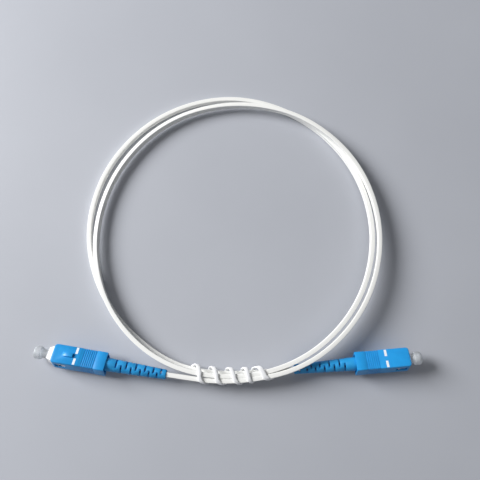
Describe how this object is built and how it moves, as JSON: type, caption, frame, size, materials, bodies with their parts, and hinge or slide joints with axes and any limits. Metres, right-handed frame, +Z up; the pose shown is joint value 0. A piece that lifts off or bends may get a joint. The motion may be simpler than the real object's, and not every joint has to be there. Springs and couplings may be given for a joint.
{
  "type": "fibre drop cable",
  "caption": "Flat white fibre drop cable in a loose tied coil, with a blue push-pull plug, slotted strain-relief boot and clear dust cap on each end.",
  "frame": {"origin": "middle of the overall box, on the table that the cable lies on", "axes": "+X along the tied side, from the plug with its sleeve pulled back to the other, +Y across the coil away from the plugs, +Z up"},
  "size_m": [0.1806, 0.1448, 0.0107],
  "materials": {
    "blue_plastic": "moulded, fine satin",
    "blue_boot": "soft moulded",
    "white_plastic": "moulded",
    "clear_plastic": "milky, see-through",
    "zirconia": "polished",
    "nickel_silver": "turned",
    "spring_steel": "drawn wire",
    "brass_tube": "crimped",
    "buffer_plastic": "extruded",
    "cable_jacket": "extruded, slightly waxy",
    "tie_cover": "thin plastic over wire"
  },
  "bodies": {
    "cable": {"drop_cable": "cable_jacket", "twist_tie": "tie_cover", "left_plug_frame": "white_plastic", "left_stop_ring": "nickel_silver", "left_crimp_tube": "brass_tube", "left_boot": "blue_boot", "left_ferrule_spring": "spring_steel", "right_plug_frame": "white_plastic", "right_stop_ring": "nickel_silver", "right_crimp_tube": "brass_tube", "right_boot": "blue_boot", "right_ferrule_spring": "spring_steel"},
    "left_sleeve": {"left_coupling_sleeve": "blue_plastic"},
    "left_ferrule_unit": {"left_ferrule": "zirconia", "left_ferrule_flange": "nickel_silver", "left_fibre": "buffer_plastic"},
    "left_cap": {"left_dust_cap": "clear_plastic"},
    "right_sleeve": {"right_coupling_sleeve": "blue_plastic"},
    "right_ferrule_unit": {"right_ferrule": "zirconia", "right_ferrule_flange": "nickel_silver", "right_fibre": "buffer_plastic"},
    "right_cap": {"right_dust_cap": "clear_plastic"}
  },
  "joints": [
    {"name": "left_sleeve_slide", "type": "slide", "parent": "cable", "child": "left_sleeve", "axis": [-0.9861, 0.1659, 0], "range_m": [0, 0.0022]},
    {"name": "left_ferrule_push", "type": "slide", "parent": "cable", "child": "left_ferrule_unit", "axis": [-0.9861, 0.1659, 0], "range_m": [-0.0012, 0], "stiffness_N_per_m": 1000, "springref_m": 0.003, "deforming": ["left_ferrule_spring"]},
    {"name": "left_cap_pull", "type": "slide", "parent": "left_ferrule_unit", "child": "left_cap", "axis": [-0.9861, 0.1659, 0], "range_m": [-0.0013, 0.011]},
    {"name": "right_sleeve_slide", "type": "slide", "parent": "cable", "child": "right_sleeve", "axis": [0.9956, 0.0871, 0.0349], "range_m": [-0.0022, 0]},
    {"name": "right_ferrule_push", "type": "slide", "parent": "cable", "child": "right_ferrule_unit", "axis": [0.9956, 0.0871, 0.0349], "range_m": [-0.0012, 0], "stiffness_N_per_m": 1000, "springref_m": 0.003, "deforming": ["right_ferrule_spring"]},
    {"name": "right_cap_pull", "type": "slide", "parent": "right_ferrule_unit", "child": "right_cap", "axis": [0.9956, 0.0871, 0.0349], "range_m": [0, 0.012]}
  ]
}
